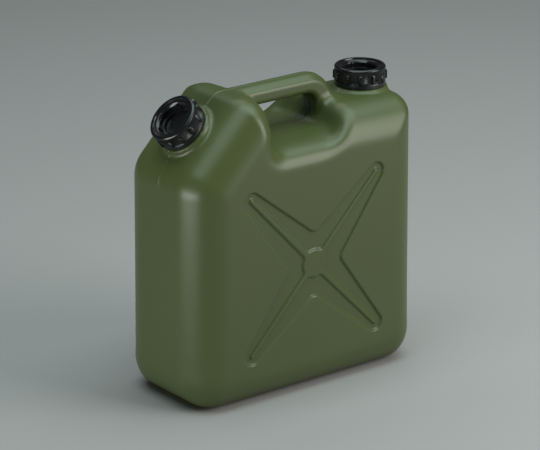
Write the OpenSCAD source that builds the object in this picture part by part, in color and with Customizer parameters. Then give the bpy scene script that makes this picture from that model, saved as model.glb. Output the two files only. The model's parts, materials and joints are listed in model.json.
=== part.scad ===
// Moulded fuel can with two screw closures, an open carry handle and a pressed cross on each broad face.
// Length runs along X with the pouring end at -X, depth along Y, height along Z. Origin: centre of the base.

/* [Body] */
// Length of the body, from the pouring end to the filler end
body_l = 300.6; // [286:0.2:330]
// Depth of the body, across the two broad faces
body_w = 139.6; // [130:0.2:160]
// Radius of the body's upright corners
edge_r = 42; // [42:1:48]
// Radius of the long edges over the broad faces, along the shoulder, the block and the pouring face
crown_r = 42; // [34:1:42]
// Radius of the edges round the base
base_r = 30.5; // [20:0.5:34]
// Radius of the base's corners, seen from a broad face
base_end_r = 36; // [24:1:44]
// Thickness of the moulded wall
wall = 2; // [1.5:0.1:3]
// Height of the shoulder under the filler closure
shoulder_z = 293.5; // [288:0.5:298]
// Height of the block that carries the front end of the handle
block_z = 322.6; // [316:0.2:330]
// Radius where the shoulder turns down into the filler end
shoulder_r = 20; // [14:1:30]
// How far each end of the body leans in on its way up to the shoulder
draft = 2; // [0:0.1:3]
// Lean of the pouring face from the vertical
slope_deg = 45; // [40:1:50]
// Height of the pouring face, from where it would meet the pouring end up to the top of the block
slope_h = 72.8; // [67:0.2:80]
// Radius where the pouring face turns down into the pouring end
slope_low_r = 40; // [20:1:50]
// Radius where the pouring face turns over onto the block
slope_top_r = 16; // [8:1:20]

/* [Handle] */
// Depth of the handle bar, across the body
handle_w = 28; // [24:1:34]
// Height of the handle bar
handle_h = 19.6; // [17:0.2:23]
// Width of the level top of the bar
handle_crown_w = 10; // [6:1:14]
// How far the long bevels of the bar drop from its top
handle_bevel_h = 5.6; // [3:0.2:8]
// Size of the small bevels under the bar
handle_heel = 3.4; // [1:0.2:5]
// Inside radius of the bend at the filler end of the bar
handle_bend_r = 12; // [6:1:16]
// Thickness of the leg that the bar bends down into, along the body
handle_leg = 24.6; // [23:0.2:28]

/* [Hand space] */
// Place of the end wall of the hand space nearest the pouring end
grip_front_x = -42; // [-48:1:-36]
// Place of the end wall of the hand space nearest the filler end
grip_rear_x = 47.5; // [42:0.5:52]
// Height of the floor of the hand space, at the middle of the body
grip_floor_z = 271; // [264:1:278]
// Fall of that floor, from the middle of the body to a broad face
grip_fall = 7; // [2:1:12]
// How far the front end wall splays out on its way to a broad face
grip_splay = 7; // [0:1:12]
// How far the rear end wall splays out on its way to a broad face
grip_rear_splay = 4.5; // [0:0.5:8]
// Depth, from the middle of the body, at which the rear end wall starts to curve in
grip_curve_y = 36; // [28:1:44]
// Radius of that curve where it starts
grip_curve_r = 26; // [22:1:40]
// Radius of the floor's corner at the filler end
grip_rear_r = 14; // [10:1:20]
// Radius of the floor's corner at the pouring end
grip_front_r = 14; // [6:1:20]
// Radius of the rim where the hand space meets a broad face
grip_rim_r = 14; // [8:1:18]
// Radius where the rear end wall turns over onto the shoulder
grip_shoulder_r = 12; // [6:1:16]
// Radius where the front end wall turns over onto the block
grip_block_r = 18; // [12:1:26]

/* [Pressed cross] */
// Height of the middle of the cross
cross_z = 139.6; // [132:0.2:146]
// Distance of the cross's middle from the middle of the body
cross_x = 1.5; // [-6:0.5:6]
// Depth of the star-shaped recess
cross_depth = 2.2; // [1:0.1:3]
// Reach of the recess, sideways from its middle to the centre of each round tip
cross_reach_x = 81.5; // [70:0.5:86]
// Reach of the recess, up and down from its middle to the centre of each round tip
cross_reach_z = 84.5; // [74:0.5:88]
// Radius of the recess's round tips
cross_tip_r = 10.5; // [8:0.5:13]
// Distance from the middle to the notch between two arms
cross_waist = 34.5; // [28:0.5:42]
// Radius of each notch
cross_notch_r = 8; // [4:0.5:12]
// Height of the raised rib that stands on the floor of the recess
rib_h = 1.9; // [0.8:0.1:2.4]
// Width of the raised rib at the hub
rib_w = 9.5; // [6:0.5:12]
// Width of the raised rib at its tips
rib_tip_w = 7; // [4:0.5:9]
// Radius of the round hub where the ribs cross
hub_r = 16.5; // [12:0.5:20]

/* [Necks] */
// Distance of the filler neck from the filler end of the body
filler_in = 33.9; // [32:0.1:38]
// Distance of the pouring neck up the pouring face, from the lower edge of that face
pour_up = 53.2; // [49:0.2:58]
// Radius of the clear bore through each neck
bore_r = 20.2; // [17:0.1:20.6]
// Radius of the neck at the foot of its thread
neck_r = 22.9; // [22.5:0.1:23.2]
// Height of each neck's sealing rim over its foot
neck_h = 16.8; // [15:0.1:18]
// Radius of the round foot under each neck
foot_r = 29; // [27:0.5:31]
// Height of the foot over the shoulder
filler_foot_h = 3; // [2:0.2:6]
// Height of the foot over the pouring face
pour_foot_h = 6; // [2:0.2:8]
// How deep each foot reaches into the body, to meet its curved corners
foot_drop = 12; // [8:1:14]
// Radius of the bead that holds the loose band on the neck
bead_r = 25.4; // [25:0.1:25.6]
// Height of that bead
bead_h = 1.2; // [0.8:0.1:1.6]

/* [Thread] */
// Rise of the thread in one turn
pitch = 4.5; // [4:0.1:5]
// Number of turns of thread on each neck
neck_turns = 1.75; // [1.25:0.25:2]
// Number of turns of thread in each cap
cap_turns = 1.5; // [1:0.25:1.75]
// Width of each thread at its root
thread_root_w = 2.4; // [1.6:0.1:2.4]
// Width of each thread at its crest
thread_crest_w = 1; // [0.6:0.1:1]
// Depth of the neck's thread
thread_depth = 1.7; // [1:0.1:1.9]
// Radial gap between each thread's crest and the wall that faces it
thread_gap = 0.5; // [0.4:0.1:0.8]
// Gap between the flanks that press together when the cap is tight
flank_gap = 0.3; // [0.2:0.05:0.5]

/* [Caps] */
// Radius of a cap's skirt
cap_r = 27.2; // [26.8:0.1:29]
// Height of a cap, from the lower edge of its skirt to its rim
cap_h = 15.4; // [13:0.1:18]
// Bevel round the rim of a cap
cap_bevel = 1.4; // [0.6:0.1:2]
// How far each grip lug stands out of the skirt
lug_h = 1.6; // [0.8:0.1:2.4]
// Width of each grip lug
lug_w = 3.2; // [2:0.1:5]
// Height of each grip lug
lug_l = 9.6; // [6:0.2:11]
// Number of grip lugs round a cap
lug_count = 12; // [6:1:18]
// Place of the first lug on the tight filler cap, in degrees from the filler end
filler_lug_deg = 22; // [0:1:59]
// Place of the first lug on the tight pouring cap, in degrees from the top of the can
pour_lug_deg = 27; // [0:1:59]
// Radius of the wide shallow dish in the top of a cap
dish_r = 22.4; // [21:0.1:24]
// Depth of that dish
dish_h = 1.5; // [0.8:0.1:1.8]
// Inside radius of the deep well in the middle of a cap
well_r = 17.6; // [13:0.1:17.8]
// Thickness of the well's wall, of its floor and of the roof over the seal
cap_wall = 1.9; // [1.4:0.1:2.1]
// Depth of the well, from the rim of the cap
well_h = 13; // [9:0.5:14]
// Height of the loose band under a cap
band_h = 5.5; // [4:0.1:6]
// Gap all round between the lip inside the loose band and the neck
band_play = 1; // [0.5:0.1:1.4]
// Gap between the loose band and the cap over it
band_gap = 0.4; // [0.3:0.1:1]
// Thickness of the ring seal in a cap
seal_h = 1.6; // [1:0.1:2]
// Gap on each side of the seal when the cap is tight
seal_gap = 0.05; // [0.02:0.01:0.1]

/* [Hidden] */
$fn = 96;

half_l = body_l / 2;
half_w = body_w / 2;
// Facets in each curved corner of an outline, round an edge between outlines, and along a curved end wall
corner_steps = 5;
edge_steps = 7;
curve_steps = 3;
// Smallest radius that a corner shrinks to, and the small overlap that joins pieces cleanly
least_r = 0.5;
lap = 0.3;
// Steps of a thread in each turn, steps over which its ends fade out, and the share left at the very end
turn_steps = 36;
fade_steps = 6;
fade_least = 0.04;
// Space over the can that cutters reach into
clear_z = 12;

// Places along the pouring face
slope_z = block_z - slope_h;
slope_run = slope_h * tan(slope_deg);
slope_low_x = draft - half_l;
slope_top_x = slope_run + slope_low_x;
pour_x = pour_up * sin(slope_deg) + slope_low_x;
pour_z = slope_z + pour_up * cos(slope_deg);

// Middles of the handle's bend, inside it and outside it
bend_in_x = grip_rear_x - handle_bend_r;
bend_x = bend_in_x + handle_leg - handle_h;
bend_z = block_z - handle_h - handle_bend_r;

// Place of the filler neck
filler_x = half_l - filler_in;

// Levels of a closure, counted from the top of the foot that its neck stands on
seal_z = neck_h + seal_gap;
roof_z = seal_z + seal_h + seal_gap;
band_z = lap;
skirt_z = band_z + band_h + band_gap;
cap_top_z = skirt_z + cap_h;
crest_r = neck_r + thread_depth;
skirt_in_r = crest_r + thread_gap;
cap_crest_r = neck_r + thread_gap;
plug_r = well_r + cap_wall;
bead_z = band_z + band_h - 2 * bead_h;
lip_h = bead_z - band_z - lap;
// Half widths of a thread at its root and at its crest
root_half = thread_root_w / 2;
crest_half = thread_crest_w / 2;
neck_thread_z = neck_h - root_half - lap - pitch * neck_turns;
// The cap's thread hangs under the neck's thread by both half widths at mid depth and the flank gap
thread_drop = root_half + crest_half + flank_gap;
cap_thread_z = skirt_z + root_half + lap;
cap_thread_turn = 360 * (cap_thread_z - neck_thread_z + thread_drop) / pitch;

// ---- Outline maths -------------------------------------------------------------------------

function unit(v) = v / norm(v);

// Left-hand normal of the way from a to b
function left(a, b) = [-unit(b - a).y, unit(b - a).x];

// Where the line through p along d crosses the line through q along e
function meet(p, d, q, e) = p + d * cross(q - p, e) / cross(d, e);

// Corners of an outline after edge i, from corner i to the next one, moves inwards by moves[i]
function moved(pts, moves) = let (n = len(pts)) [for (i = [0:n - 1])
    let (a = pts[(i + n - 1) % n], p = pts[i], b = pts[(i + 1) % n])
    meet(a + moves[(i + n - 1) % n] * left(a, p), p - a, p + moves[i] * left(p, b), b - p)];

// Arc of radius r that rounds the corner p between its neighbours a and b
function corner_arc(a, p, b, r, steps) =
    let (u = unit(a - p), v = unit(b - p), half = acos(u * v) / 2,
         mid = p + unit(u + v) * r / sin(half),
         from = p + u * r / tan(half) - mid, to = p + v * r / tan(half) - mid,
         start = atan2(from.y, from.x), turn = atan2(cross(from, to), from * to))
    [for (k = [0:steps]) mid + r * [cos(start + turn * k / steps), sin(start + turn * k / steps)]];

// A whole outline with every corner rounded by its own radius
function rounded(pts, radii, steps) = let (n = len(pts)) [for (i = [0:n - 1])
    each corner_arc(pts[(i + n - 1) % n], pts[i], pts[(i + 1) % n], radii[i], steps)];

// How far an outline draws in at depth y, where the edge to the face at half_w has radius r and the
// whole form is made smaller by g
function draw_in(y, r, g) =
    let (over = abs(y) - (half_w - r), inner = r - g)
    r - (over <= 0 ? inner : sqrt(max(0, inner * inner - over * over)));

// Depths at which the outlines stand, for an edge radius r
function depths(r, g) = [for (k = [0:edge_steps]) half_w - r + (r - g) * sin(90 * k / edge_steps)];
function both_sides(d) = concat([for (i = [len(d) - 1:-1:0]) -d[i]], d);

// Solid through a row of outlines, one at each depth along Y, each a list of [x, z] points
module through(outlines, at) {
    n = len(outlines[0]);
    rows = len(outlines);
    points = [for (j = [0:rows - 1]) for (p = outlines[j]) [p.x, at[j], p.y]];
    sides = [for (j = [0:rows - 2]) for (i = [0:n - 1]) let (a = j * n + i, b = j * n + (i + 1) % n)
             each [[a, b, b + n], [a, b + n, a + n]]];
    near = [for (i = [n - 1:-1:0]) i];
    far = [for (i = [0:n - 1]) (rows - 1) * n + i];
    polyhedron(points, concat(sides, [near, far]), convexity = 6);
}

// ---- Tank forms, each drawn smaller by g -----------------------------------------------------

// Side view of the body: base, filler end, shoulder, step up to the block, block, pouring face
body_corners = [[-half_l, 0], [half_l, 0], [half_l - draft, shoulder_z], [grip_rear_x, shoulder_z],
                [grip_front_x + lap, block_z], [slope_top_x, block_z], [slope_low_x, slope_z]];
body_radii = [base_end_r, base_end_r, shoulder_r, least_r, least_r, slope_top_r, slope_low_r];

function body_outline(y, g) =
    let (e = draw_in(y, edge_r, g), low = draw_in(y, base_r, g), top = draw_in(y, crown_r, g))
    rounded(moved(body_corners, [low, e, top, top, top, top, e]),
            [for (r = body_radii) max(r - e, least_r)], corner_steps);

module body_form(g) {
    at = both_sides(depths(edge_r, g));
    through([for (y = at) body_outline(y, g)], at);
}

// Side view of the hand space at depth y, drawn larger by g, counted from the front end of its floor
function grip_outline(y, g) =
    let (e = draw_in(y, grip_rim_r, g), share = abs(y) / half_w, beyond = max(abs(y) - grip_curve_y, 0),
         front = grip_front_x - grip_splay * share - e,
         rear = grip_rear_x + grip_rear_splay * share - beyond * beyond / (2 * grip_curve_r) + e,
         base = grip_floor_z - grip_fall * share - e,
         shoulder = shoulder_z - g + lap, block = block_z - g + lap,
         room = shoulder - base - grip_rear_r - e - lap,
         block_r = max(grip_block_r - e, least_r), rear_r = max(min(grip_shoulder_r - e, room), least_r))
    rounded([[front, base], [rear, base], [rear, shoulder], [rear + rear_r + lap, shoulder],
             [rear + rear_r + lap, block_z + clear_z], [front - block_r - lap, block_z + clear_z],
             [front - block_r - lap, block], [front, block]],
            [grip_front_r + e, grip_rear_r + e, rear_r, lap / 2, lap / 2, lap / 2, lap / 2, block_r],
            corner_steps);

module grip_form(g) {
    rim = depths(grip_rim_r, g);
    curve = [for (k = [0:curve_steps - 1]) grip_curve_y + (rim[0] - grip_curve_y) * k / curve_steps];
    at = both_sides(concat([0], curve, rim, [half_w + clear_z]));
    grip_at = [for (i = [0:len(at) - 1]) if (i == 0 || at[i] != at[i - 1]) at[i]];
    through([for (y = grip_at) grip_outline(min(abs(y), half_w - g), g)], grip_at);
}

// Cross-section of the handle where it is h thick, in depth and height under its outside
function bar_section(h, g) =
    let (w = handle_w / 2, crown = handle_crown_w / 2, side = -handle_bevel_h, heel = handle_heel)
    moved([[-crown, 0], [-w, side], [-w, heel - h], [heel - w, -h], [w - heel, -h],
           [w, heel - h], [w, side], [crown, 0]], [for (i = [0:7]) g]);

module handle_form(g) {
    bend_out = handle_bend_r + handle_h;
    leg_low = grip_floor_z - grip_rear_r;
    run = bend_x - slope_top_x - slope_top_r;
    // level bar, running into the block
    translate([bend_x, 0, block_z]) rotate([90, 0, -90]) linear_extrude(run)
        polygon(bar_section(handle_h, g));
    // bend over the rear end of the hand space, about one middle inside and another outside
    for (x = [bend_in_x, bend_x]) translate([x, 0, bend_z]) rotate([90, 0, 0]) rotate_extrude(angle = 90)
        polygon([for (p = bar_section(handle_h, g)) [bend_out + p.y, p.x]]);
    // leg down into the shoulder
    translate([bend_x + bend_out, 0, leg_low]) linear_extrude(bend_z - leg_low)
        polygon([for (p = bar_section(handle_leg, g)) [p.y, p.x]]);
}

// ---- Pressed cross, drawn on the plane of a broad face ----------------------------------------

// Direction of the line from p that touches the circle at c of radius r, on its left when side is 1
function touching(p, c, r, side) =
    let (a = atan2(c.y - p.y, c.x - p.x) + side * asin(r / norm(c - p))) [cos(a), sin(a)];

// Where the two long edges of an arm would meet beyond its round tip
function arm_point(waist, tip, r) =
    meet([0, waist], touching([0, waist], tip, r, 1), [waist, 0], touching([waist, 0], tip, r, -1));

module star(grow) {
    waist = cross_waist + grow;
    far = arm_point(waist, [cross_reach_x, cross_reach_z], cross_tip_r + grow);
    notch = max(cross_notch_r - grow, least_r);
    tip = cross_tip_r + grow;
    polygon(rounded([[waist, 0], far, [0, waist], [-far.x, far.y], [-waist, 0], -far, [0, -waist],
                     [far.x, -far.y]], [notch, tip, notch, tip, notch, tip, notch, tip], corner_steps));
}

module rib() {
    circle(hub_r);
    long = norm([cross_reach_x, cross_reach_z]);
    lean = atan2(cross_reach_z, cross_reach_x);
    for (a = [lean, 180 - lean]) rotate(a) {
        polygon([[-long, -rib_tip_w / 2], [0, -rib_w / 2], [long, -rib_tip_w / 2],
                 [long, rib_tip_w / 2], [0, rib_w / 2], [-long, rib_tip_w / 2]]);
        for (end = [-long, long]) translate([end, 0]) circle(rib_tip_w / 2);
    }
}

// Stands a flat drawing on both broad faces: from depth low to depth high, counted inwards
module on_faces(low, high) {
    for (s = [-1, 1]) translate([cross_x, s * (half_w - (low + high) / 2), cross_z])
        rotate([90, 0, 0]) linear_extrude(high - low, center = true) children();
}

// ---- Necks and closures, drawn upright with the top of their foot at Z = 0 ----------------------

module on_filler() { translate([filler_x, 0, shoulder_z + filler_foot_h]) children(); }
module on_pour() {
    translate([pour_x, 0, pour_z]) rotate([0, -slope_deg, 0]) translate([0, 0, pour_foot_h]) children();
}

// Helical ridge from radius root to radius crest, rising one pitch a turn and fading out at its ends
module thread(root, crest, from_z, turns, from_turn) {
    n = round(turns * turn_steps);
    points = [for (k = [0:n])
        let (a = from_turn + 360 * k / turn_steps, z = from_z + pitch * k / turn_steps,
             f = max(fade_least, min(1, k / fade_steps, (n - k) / fade_steps)),
             tip = root + (crest - root) * f)
        for (q = [[root, -root_half], [tip, -crest_half], [tip, crest_half], [root, root_half]])
            [q[0] * cos(a), q[0] * sin(a), z + q[1]]];
    outwards = crest > root;
    sides = [for (k = [0:n - 1]) for (i = [0:3]) let (a = 4 * k + i, b = 4 * k + (i + 1) % 4)
             each [[a, b, b + 4], [a, b + 4, a + 4]]];
    ends = [[3, 2, 1, 0], [4 * n, 4 * n + 1, 4 * n + 2, 4 * n + 3]];
    faces = concat(sides, ends);
    polyhedron(points, outwards ? faces : [for (f = faces) [for (i = [len(f) - 1:-1:0]) f[i]]]);
}

module neck() {
    translate([0, 0, -foot_drop]) cylinder(h = foot_drop, r = foot_r);
    translate([0, 0, -lap]) cylinder(h = neck_h + lap, r = neck_r);
    translate([0, 0, bead_z]) cylinder(h = bead_h, r = bead_r);
    thread(neck_r - lap, crest_r, neck_thread_z, neck_turns, 0);
}

module neck_bore() { translate([0, 0, -2 * foot_drop]) cylinder(h = neck_h + 3 * foot_drop, r = bore_r); }

module cap(lug_deg) {
    rim_in = cap_top_z - dish_h;
    floor_z = cap_top_z - well_h;
    rotate_extrude() polygon([
        [0, floor_z - cap_wall], [plug_r, floor_z - cap_wall], [plug_r, roof_z], [skirt_in_r, roof_z],
        [skirt_in_r, skirt_z], [cap_r, skirt_z], [cap_r, cap_top_z - cap_bevel],
        [cap_r - cap_bevel, cap_top_z], [dish_r + dish_h / 2, cap_top_z], [dish_r, rim_in],
        [well_r, rim_in], [well_r, floor_z], [0, floor_z]]);
    lug_z = skirt_z + lap;
    for (k = [0:lug_count - 1]) rotate(lug_deg + 360 * k / lug_count)
        translate([cap_r - lap, -lug_w / 2, lug_z]) cube([lug_h + lap, lug_w, lug_l]);
    thread(skirt_in_r + lap, cap_crest_r, cap_thread_z, cap_turns, cap_thread_turn);
}

module seal() {
    translate([0, 0, seal_z]) difference() {
        cylinder(h = seal_h, r = skirt_in_r - lap);
        translate([0, 0, -lap]) cylinder(h = seal_h + 2 * lap, r = plug_r + lap);
    }
}

module band() {
    translate([0, 0, band_z]) difference() {
        cylinder(h = band_h, r = cap_r);
        translate([0, 0, -lap]) cylinder(h = band_h + 2 * lap, r = neck_r + band_play);
        translate([0, 0, lip_h]) cylinder(h = band_h, r = bead_r + lap);
    }
}

// ---- Sub-parts -------------------------------------------------------------------------------

module tank_shell() {
    color([0.30, 0.36, 0.24]) difference() {
        union() {
            difference() {
                body_form(0);
                grip_form(0);
                on_faces(-lap, cross_depth) star(0);
            }
            on_faces(cross_depth - rib_h, cross_depth + lap) rib();
            handle_form(0);
            on_filler() neck();
            on_pour() neck();
        }
        difference() {
            body_form(wall);
            grip_form(wall);
            on_faces(0, cross_depth + wall) star(wall);
        }
        handle_form(wall);
        on_filler() neck_bore();
        on_pour() neck_bore();
    }
}

module pour_cap() { color([0.06, 0.06, 0.07]) on_pour() cap(pour_lug_deg); }
module pour_cap_seal() { color([0.55, 0.55, 0.52]) on_pour() seal(); }
module pour_cap_band() { color([0.07, 0.07, 0.08]) on_pour() band(); }
module filler_cap() { color([0.06, 0.06, 0.07]) on_filler() cap(filler_lug_deg); }
module filler_cap_seal() { color([0.55, 0.55, 0.52]) on_filler() seal(); }
module filler_cap_band() { color([0.07, 0.07, 0.08]) on_filler() band(); }

tank_shell();
pour_cap();
pour_cap_seal();
pour_cap_band();
filler_cap();
filler_cap_seal();
filler_cap_band();
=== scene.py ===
"""Looks of the moulded fuel can: the blow-moulded tank, its two screw closures and a plain studio."""

import json
import math

import bmesh
import bpy
import numpy as np
from mathutils import Matrix, Vector


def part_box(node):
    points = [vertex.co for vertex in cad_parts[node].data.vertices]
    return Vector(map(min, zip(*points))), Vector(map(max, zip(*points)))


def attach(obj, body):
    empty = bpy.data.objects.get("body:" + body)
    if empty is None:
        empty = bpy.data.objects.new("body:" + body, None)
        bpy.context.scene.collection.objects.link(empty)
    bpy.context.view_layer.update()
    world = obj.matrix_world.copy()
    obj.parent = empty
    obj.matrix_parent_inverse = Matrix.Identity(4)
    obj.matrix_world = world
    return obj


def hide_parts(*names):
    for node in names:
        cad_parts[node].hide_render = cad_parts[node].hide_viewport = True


bl_info = {
    "name": "Moulded fuel can",
    "version": (1, 0, 0),
    "blender": (4, 5, 0),
    "location": "View3D > Sidebar > Fuel can",
    "description": "Models a blow-moulded fuel can with two screw closures",
    "category": "Object",
}

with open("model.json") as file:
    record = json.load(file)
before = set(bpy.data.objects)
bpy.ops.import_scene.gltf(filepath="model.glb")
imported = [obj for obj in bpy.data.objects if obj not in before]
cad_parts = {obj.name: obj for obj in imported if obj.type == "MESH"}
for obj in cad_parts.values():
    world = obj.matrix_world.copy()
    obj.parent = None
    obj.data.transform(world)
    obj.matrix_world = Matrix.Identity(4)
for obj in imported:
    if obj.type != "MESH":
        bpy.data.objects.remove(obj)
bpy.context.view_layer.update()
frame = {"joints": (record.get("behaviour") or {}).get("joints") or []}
tank_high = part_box("tank_shell")[1]
MM = 0.001
TINY = 1e-6  # keeps a divisor or a radius off nought


# ---- Sizes and colours ------------------------------------------------------------------------


def length(name, description, default):
    return bpy.props.FloatProperty(name=name, description=description, default=default, unit="LENGTH")


def angle(name, description, degrees):
    return bpy.props.FloatProperty(
        name=name, description=description, default=math.radians(degrees), unit="ROTATION"
    )


def colour(name, description, default):
    return bpy.props.FloatVectorProperty(
        name=name, description=description, default=default, size=3, subtype="COLOR", min=0, max=1
    )


class CAN_PG_tank(bpy.types.PropertyGroup):
    """Sizes of the moulded tank"""

    length: length("Length", "Length of the body, inside its mould seam", 299.8 * MM)
    depth: length("Depth", "Depth across the two broad faces", 2 * tank_high.y)
    block_z: length("Block height", "Height of the block and of the handle", tank_high.z)
    shoulder_z: length("Shoulder height", "Height of the shoulder under the filler", 293.5 * MM)
    slope_z: length("Pouring face height", "Height where the pouring face starts", 249.8 * MM)
    slope: angle("Pouring face lean", "Lean of the pouring face", 45)
    draft: length("Draft", "How far each end leans in on its way up", 2 * MM)
    edge_r: length("Edge radius", "Radius of the upright corners and the crown", 42 * MM)
    base_r: length("Base radius", "Radius of the long edges of the base", 30.5 * MM)
    base_end_r: length("Base corner radius", "Radius of the corners of the base", 36 * MM)
    shoulder_r: length("Shoulder radius", "Radius from the shoulder to the filler end", 20 * MM)
    slope_low_r: length("Low slope radius", "Radius under the pouring face", 40 * MM)
    slope_top_r: length("High slope radius", "Radius over the pouring face", 16 * MM)
    wall: length("Wall", "Thickness of the moulded wall", 2 * MM)
    seam_h: length("Seam height", "How far the mould seam stands out at the top", 0.5 * MM)
    seam_low_h: length("Low seam height", "How far it stands out on the ends of the body", 0.15 * MM)
    seam_w: length("Seam width", "Half width of the mould seam", 0.7 * MM)


class CAN_PG_grip(bpy.types.PropertyGroup):
    """Sizes of the handle bar and of the hand space under it"""

    bar_w: length("Bar depth", "Depth of the bar, across the body", 28 * MM)
    bar_h: length("Bar height", "Height of the bar", 19.6 * MM)
    leg: length("Leg", "Thickness of the leg that the bar bends down into", 24.6 * MM)
    crown_w: length("Bar crown", "Width of the level top of the bar", 10 * MM)
    bevel_h: length("Bar bevel", "Drop of the long bevels of the bar", 5.6 * MM)
    heel: length("Bar heel", "Size of the small bevels under the bar", 3.4 * MM)
    bar_edge_r: length("Bar edge radius", "Radius of the bar's edges", 4 * MM)
    bend_r: length("Bend radius", "Inside radius of the bar's bend", 12 * MM)
    fillet: length("Bar fillet", "Radius where the bar meets the body", 10 * MM)
    front_x: length("Front wall", "Place of the front end of the hand space", -42 * MM)
    rear_x: length("Rear wall", "Place of the rear end of the hand space", 47.5 * MM)
    floor_z: length("Floor", "Height of the floor of the hand space", 271 * MM)
    fall: length("Floor fall", "Fall of the floor at a broad face", 7 * MM)
    splay: length("Splay", "How far each end wall splays out at a broad face", 7 * MM)
    front_r: length("Front corner", "Radius between floor and front wall", 14 * MM)
    rear_r: length("Rear corner", "Radius between floor and rear wall", 14 * MM)
    rear_splay: length("Rear splay", "How far the rear wall splays out at a broad face", 4.5 * MM)
    plan_y: length("Rear wall's straight", "Depth where the rear wall starts to curve", 36 * MM)
    plan_r: length("Rear wall's curve", "Radius of that curve where it starts", 26 * MM)
    rim_r: length("Rim", "Radius where the hand space meets a broad face", 17 * MM)
    block_r: length("Block rim", "Radius from the front wall onto the block", 18 * MM)
    shoulder_rim_r: length("Shoulder rim", "Radius from the rear wall onto the shoulder", 18 * MM)


class CAN_PG_cross(bpy.types.PropertyGroup):
    """Sizes of the cross pressed into each broad face"""

    x: length("Middle", "Distance of the cross from the middle of the body", 1.5 * MM)
    z: length("Height", "Height of the middle of the cross", 139.6 * MM)
    reach_x: length("Reach along", "From the middle to the centre of a tip, along", 81.5 * MM)
    reach_z: length("Reach up", "From the middle to the centre of a tip, upwards", 84.5 * MM)
    tip_r: length("Tip radius", "Radius of a round tip", 10.5 * MM)
    waist: length("Waist", "From the middle to the notch between two arms", 34.5 * MM)
    notch_r: length("Notch radius", "Radius between two arms", 8 * MM)
    step: length("Step", "Width of the steps at the edges of recess and rib", 2.3 * MM)
    recess: length("Recess", "Depth of the recess", 2.5 * MM)
    rib_h: length("Rib height", "Height of the rib on the floor of the recess", 2.1 * MM)
    rib_w: length("Rib width", "Width of the rib at the hub", 9.5 * MM)
    rib_tip_w: length("Rib tip width", "Width of the rib at its tips", 7 * MM)
    hub_r: length("Hub radius", "Radius of the hub", 16.5 * MM)


class CAN_PG_closure(bpy.types.PropertyGroup):
    """Sizes of a neck and its screw closure, counted up from the foot of the neck"""

    foot_r: length("Foot radius", "Radius of the foot under a neck", 29 * MM)
    foot_drop: length("Foot drop", "How deep the foot reaches into the body", 12 * MM)
    neck_r: length("Neck radius", "Radius of a neck under its thread", 22.9 * MM)
    neck_h: length("Neck height", "Height of the sealing rim", 16.8 * MM)
    bore_r: length("Bore radius", "Radius of the clear bore", 20.2 * MM)
    bead_r: length("Bead radius", "Radius of the bead that holds the loose band", 25.4 * MM)
    bead_z: length("Bead place", "Lower side of the bead", 3.4 * MM)
    bead_h: length("Bead height", "Height of the bead", 1.2 * MM)
    pitch: length("Pitch", "Rise of the thread in a turn", 4.5 * MM)
    thread_h: length("Thread depth", "Depth of the neck's thread", 1.7 * MM)
    thread_z: length("Thread start", "Height where the neck's thread starts", 7.425 * MM)
    band_z: length("Band place", "Lower side of the loose band", 0.3 * MM)
    band_h: length("Band height", "Height of the loose band", 5.5 * MM)
    skirt_z: length("Skirt place", "Lower edge of the cap's skirt", 6.2 * MM)
    top_z: length("Rim place", "Top of the cap's rim", 21.6 * MM)
    cap_r: length("Cap radius", "Radius of the cap's skirt", 27.2 * MM)
    skirt_in_r: length("Skirt bore", "Inside radius of the skirt", 25.1 * MM)
    lug_h: length("Lug height", "How far a grip lug stands out", 1.6 * MM)
    lug_w: length("Lug width", "Width of a grip lug", 3.2 * MM)
    lug_l: length("Lug length", "Length of a grip lug", 9.6 * MM)
    lugs: bpy.props.IntProperty(name="Lugs", description="Grip lugs round a cap", default=12)
    knurls: bpy.props.IntProperty(name="Knurls", description="Fine ridges from lug to lug", default=9)
    knurl_h: length("Knurl depth", "Depth of the fine ridges", 0.45 * MM)
    dish_r: length("Dish radius", "Radius of the shallow dish", 22.4 * MM)
    dish_h: length("Dish depth", "Depth of the shallow dish", 1.5 * MM)
    well_r: length("Well radius", "Inside radius of the deep well", 17.6 * MM)
    mouth_r: length("Well mouth", "Radius of the bevelled mouth of the well", 19.6 * MM)
    mouth_h: length("Mouth height", "Height of that bevel", 2.4 * MM)
    well_h: length("Well depth", "Depth of the well, from the rim", 13 * MM)
    cap_wall: length("Cap wall", "Thickness of the well's wall and floor", 1.9 * MM)
    seal_z: length("Seal place", "Lower side of the ring seal", 16.85 * MM)
    seal_h: length("Seal height", "Thickness of the ring seal", 1.6 * MM)


class CAN_PG_finish(bpy.types.PropertyGroup):
    """Colours of the finishes and of the studio"""

    tank: colour("Tank", "Colour of the moulded tank", (0.057, 0.077, 0.022))
    tank_pale: colour("Tank, pale", "Colour of its slightly paler patches", (0.064, 0.085, 0.026))
    cap: colour("Cap", "Colour of the caps", (0.0045, 0.005, 0.006))
    band: colour("Band", "Colour of the loose bands", (0.0045, 0.005, 0.006))
    seal: colour("Seal", "Colour of the ring seals", (0.22, 0.22, 0.20))
    floor: colour("Floor", "Colour of the floor", (0.355, 0.345, 0.345))
    surroundings: colour("Surroundings", "Colour of the surroundings", (0.06, 0.063, 0.062))


# ---- Forms as signed distances ------------------------------------------------------------------


def convex(a, b, r, lean=0.0):
    """What lies in both forms, with their edge rounded by r. lean is the cosine between their faces."""
    near_a, near_b = a + r, b + r
    rounded = (near_a > near_b * lean) & (near_b > near_a * lean)
    square = (near_a**2 + near_b**2 - 2 * near_a * near_b * lean) / (1 - lean**2)
    return np.where(rounded, np.sqrt(np.maximum(square, 0)) - r, np.maximum(a, b))


def filled(a, b, r, lean=0.0):
    """What lies in either form, with a fillet of radius r between them."""
    return -convex(-a, -b, r, lean)


def ramp(value, low, high):
    """Smooth step from 0 at low to 1 at high."""
    t = np.clip((value - low) / (high - low), 0, 1)
    return t * t * (3 - 2 * t)


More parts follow.
